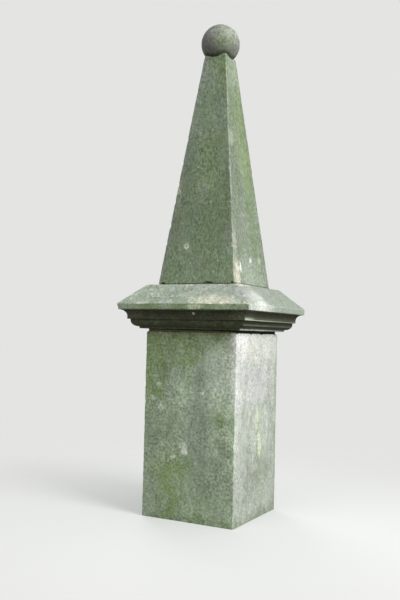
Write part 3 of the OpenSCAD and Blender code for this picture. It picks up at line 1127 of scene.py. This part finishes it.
class OBELISK_OT_shaft(StoneOperator):
    """Model the tapering shaft, its head hollowed to seat the ball"""

    bl_idname = "obelisk.shaft"
    bl_label = "Shaft"

    def execute(self, context):
        sizes = settings()[0]
        low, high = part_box("shaft")
        foot_half = high.x
        head_half = sizes.shaft_head_width / 2
        outline = [
            (foot_half - sizes.cap_inset, low.z),
            (foot_half, low.z),
            (head_half, high.z),
            (head_half / 3, high.z),
        ]
        bm = square_stone(outline, sizes.edge_rounding / 2, sizes.mesh_spacing, columns=84)
        seat_ball(bm, low.z, high.z, foot_half, head_half)
        ease_arrises(bm, worn_reach(ease=0.0025, chip=0.0035, seed=5.5))
        roughen(bm, [(0.2, 0.0014), (0.045, 0.0009), (0.013, 0.0005)], seed=3.0, beds=(low.z,))
        flakes = flakes_up(foot_half, low.z, head_half, high.z, count=18, depth=0.005, seed=51)
        flakes += flakes_round(foot_half, low.z, rise=-1, count=6, depth=0.005, seed=61)
        # Gaps at the foot of the front
        for across, size in ((-0.188, 0.011), (0.050, 0.013), (0.064, 0.016), (0.080, 0.015), (0.199, 0.011)):
            flakes.append((Vector((across, -foot_half - 0.003, low.z - 0.003)), size))
        knock_off(bm, flakes)
        finish_piece(bm, "worn_shaft", "shaft", shaft_material())
        return {"FINISHED"}


def seat_ball(bm, foot, head, foot_half, head_half):
    """Draw the head of the shaft down to the cup, where the cup's sphere cuts it."""
    centre, ball_radius = ball_size()
    radius = ball_radius + settings()[0].cup_gap

    def half_at(level):
        return foot_half + (head_half - foot_half) * (level - foot) / (head - foot)

    for vert in bm.verts:
        rise = (vert.co.z - foot) / (head - foot)
        half = half_at(vert.co.z)
        under = radius**2 - (vert.co.xy * head_half / half).length_squared
        top = min(head, centre.z - math.sqrt(under)) if under > 0 else head
        on_side = max(abs(vert.co.x), abs(vert.co.y)) > half - SAME_FACE
        vert.co.z = foot + (top - foot) * rise
        if on_side:
            vert.co.xy *= half_at(vert.co.z) / half


def ball_size():
    """The centre and the radius of the ball."""
    low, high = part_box("ball")
    return (low + high) / 2, (high.z - low.z) / 2


class OBELISK_OT_ball(StoneOperator):
    """Model the ball"""

    bl_idname = "obelisk.ball"
    bl_label = "Ball"

    def execute(self, context):
        centre, radius = ball_size()
        bm = bmesh.new()
        bmesh.ops.create_icosphere(bm, subdivisions=7, radius=radius, matrix=Matrix.Translation(centre))
        wear_layer(bm)
        roughen(bm, [(0.09, 0.0010), (0.022, 0.0008), (0.008, 0.0005)], seed=4.0, inwards=1)
        finish_piece(bm, "worn_ball", "ball", ball_material())
        return {"FINISHED"}


class OBELISK_OT_mortar(StoneOperator):
    """Model the washed-out mortar beds between the stones"""

    bl_idname = "obelisk.mortar"
    bl_label = "Mortar beds"

    def execute(self, context):
        mortar = mortar_material()
        cap_inset = 0.03
        for node, seed in (("die_bed", 6.0), ("shaft_bed", 7.0)):
            low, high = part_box(node)
            inner = high.x - cap_inset
            outline = [(inner, low.z), (high.x, low.z), (high.x, high.z), (inner, high.z)]
            bm = square_stone(outline, rounding=0.0008, spacing=0.0022, columns=90)
            roughen(bm, [(0.05, 0.004), (0.012, 0.003)], seed, inwards=0.6, beds=(low.z, high.z))
            if node == "die_bed":
                keep_front_mortar(bm, low, high)
            finish_piece(bm, "washed_" + node, node, mortar)
        finish_piece(ball_dish(rings=24), "washed_ball_bed", "ball_bed", mortar)
        return {"FINISHED"}


def keep_front_mortar(bm, low, high):
    """Leave the mortar almost flush with the die on the front, under a crack that widens to the right."""
    wear = wear_layer(bm)
    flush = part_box("die")[0].y + 0.003
    for vert in bm.verts:
        across = vert.co.x / high.x
        filled = 0.72 - 0.26 * across + 0.35 * (lumps(vert.co, 0.03, 9.0) - 0.5)
        if vert.co.y < low.y + 0.008 and vert.co.z < low.z + filled * (high.z - low.z):
            vert.co.y = flush + 0.003 * lumps(vert.co, 0.01, 10.0)
            vert[wear] = 1.0


def ball_dish(rings):
    """The mesh of the dish of mortar that fills the cup under the ball, out to a ragged rim."""
    centre, inside = ball_size()
    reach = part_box("ball_bed")[1].x

    def arc(radius):
        steps = [reach * ring / rings for ring in range(rings + 1)]
        return [(across, centre.z - math.sqrt(radius**2 - across**2)) for across in steps]

    bm = bmesh.new()
    draw_wire(bm, arc(inside + settings()[0].cup_gap) + arc(inside)[::-1])
    spin_wire(bm, 4 * rings)
    bmesh.ops.remove_doubles(bm, verts=bm.verts, dist=1e-6)
    bmesh.ops.recalc_face_normals(bm, faces=bm.faces)
    for vert in bm.verts:
        out = vert.co.xy.length / reach
        vert.co.xy *= 1 - 0.12 * out**4 * lumps(vert.co, 0.012, 8.0)
    wear_layer(bm)
    return bm


# Studio

class OBELISK_OT_studio(Operator):
    """Set up the pale floor, the soft lamps and the camera"""

    bl_idname = "obelisk.studio"
    bl_label = "Studio"

    def execute(self, context):
        studio = settings()[2]
        add_camera(studio)
        add_lamp("key_lamp", place=(4.6, -1.3, 3.6), size=2.6, power=studio.key_power)
        add_lamp("fill_lamp", place=(-1.6, -5.2, 2.6), size=3.0, power=studio.fill_power)
        add_lamp("back_lamp", place=(-4.0, 4.0, 3.0), size=3.0, power=studio.back_power)
        add_sky(studio)
        add_floor(studio)
        bpy.context.scene.view_settings.view_transform = "Standard"
        return {"FINISHED"}


def add_camera(studio):
    """Stand the camera where the photograph was taken from."""
    data = bpy.data.cameras.new("camera")
    data.lens = studio.lens
    camera = add_object("camera", data)
    turn = Matrix.Rotation(studio.camera_turn, 4, "Z")
    tilt = Matrix.Rotation(math.pi / 2 + studio.camera_rise, 4, "X")
    roll = Matrix.Rotation(studio.camera_roll, 4, "Z")
    camera.matrix_world = Matrix.Translation(studio.camera_place) @ turn @ tilt @ roll
    bpy.context.scene.camera = camera


def add_lamp(name, place, size, power):
    """Hang a large square lamp that looks at the middle of the obelisk."""
    data = bpy.data.lights.new(name, "AREA")
    data.shape = "SQUARE"
    data.size = size
    data.energy = power
    aim = (cad_box[0] + cad_box[1]) / 2 - Vector(place)
    turn = aim.to_track_quat("-Z", "Y").to_matrix().to_4x4()
    add_object(name, data).matrix_world = Matrix.Translation(place) @ turn


def seen_straight(wiring):
    """1 where the camera looks, straight, in a gloss or through glass, and 0 where light only spreads."""
    paths = wiring.node("ShaderNodeLightPath").outputs
    seen = wiring.math("MAXIMUM", paths["Is Camera Ray"], paths["Is Glossy Ray"])
    return wiring.math("MAXIMUM", seen, paths["Is Transmission Ray"])


def add_sky(studio):
    """Even light from above, strongest on the right, which the camera sees as a plain pale background."""
    sky_tint = (0.94, 0.98, 1.0)
    world = bpy.data.worlds.new("sky")
    bpy.context.scene.world = world
    wiring = Wiring(world)
    direction = wiring.node("ShaderNodeTexCoord").outputs["Generated"]
    part = wiring.node("ShaderNodeSeparateXYZ", {0: direction}).outputs
    above = wiring.span(part[2], -0.05, 0.12, 0.12, 1.0)
    sideways = wiring.span(part[0], -0.4, 0.9, 0.8, 1.5)
    strength = wiring.times(above, sideways, studio.sky_strength)
    light = wiring.node("ShaderNodeBackground", {"Color": sky_tint, "Strength": strength})
    view = wiring.node("ShaderNodeBackground", {"Color": settings()[1].floor, "Strength": 1.0})
    mixed = wiring.mixed(seen_straight(wiring), light, view)
    wiring.node("ShaderNodeOutputWorld", {"Surface": mixed})


def add_floor(studio):
    """A round pale floor that fades into the background."""
    fade_from = 0.5
    fade_to = 2.6
    colours = settings()[1]
    bm = bmesh.new()
    bmesh.ops.create_circle(bm, cap_ends=True, segments=96, radius=12)
    mesh = bpy.data.meshes.new("floor")
    bm.to_mesh(mesh)
    bm.free()
    material = bpy.data.materials.new("pale_floor")
    wiring = Wiring(material)
    reach = wiring.measure("LENGTH", wiring.node("ShaderNodeTexCoord").outputs["Object"])
    seen = seen_straight(wiring)
    shader = wiring.node("ShaderNodeBsdfPrincipled", {
        "Base Color": wiring.blend(seen, colours.ground, colours.floor_stone),
        "Roughness": 0.9,
        "Specular IOR Level": 0.1,
        "Emission Color": (1, 1, 0.99),
        "Emission Strength": wiring.times(seen, studio.floor_glow),
    })
    clear = wiring.node("ShaderNodeBsdfTransparent")
    faded = wiring.mixed(wiring.span(reach, fade_from, fade_to), shader, clear)
    wiring.node("ShaderNodeOutputMaterial", {"Surface": faded})
    mesh.materials.append(material)
    add_object("floor", mesh)


# Panel and registration

class OBELISK_PT_panel(Panel):
    """The obelisk's pieces and settings in the sidebar."""

    bl_idname = "OBELISK_PT_panel"
    bl_label = "Square Stone Obelisk"
    bl_space_type = "VIEW_3D"
    bl_region_type = "UI"
    bl_category = "Obelisk"

    def draw(self, context):
        for operator in OPERATORS:
            self.layout.operator(operator.bl_idname)
        for group in settings():
            box = self.layout.box()
            for name in group.__annotations__:
                box.prop(group, name)


OPERATORS = (
    OBELISK_OT_die,
    OBELISK_OT_cornice,
    OBELISK_OT_shaft,
    OBELISK_OT_ball,
    OBELISK_OT_mortar,
    OBELISK_OT_studio,
)
CLASSES = (OBELISK_PG_sizes, OBELISK_PG_colours, OBELISK_PG_studio, *OPERATORS, OBELISK_PT_panel)


def register():
    for cls in CLASSES:
        bpy.utils.register_class(cls)
    bpy.types.Scene.obelisk_sizes = PointerProperty(type=OBELISK_PG_sizes)
    bpy.types.Scene.obelisk_colours = PointerProperty(type=OBELISK_PG_colours)
    bpy.types.Scene.obelisk_studio = PointerProperty(type=OBELISK_PG_studio)


def unregister():
    del bpy.types.Scene.obelisk_studio
    del bpy.types.Scene.obelisk_colours
    del bpy.types.Scene.obelisk_sizes
    for cls in reversed(CLASSES):
        bpy.utils.unregister_class(cls)


def main():
    """Make every piece and the studio, and write the two boxes to the size file."""
    register()
    bpy.ops.obelisk.studio()
    bpy.ops.obelisk.die()
    bpy.ops.obelisk.cornice()
    bpy.ops.obelisk.shaft()
    bpy.ops.obelisk.ball()
    bpy.ops.obelisk.mortar()


if __name__ == "__main__":
    main()
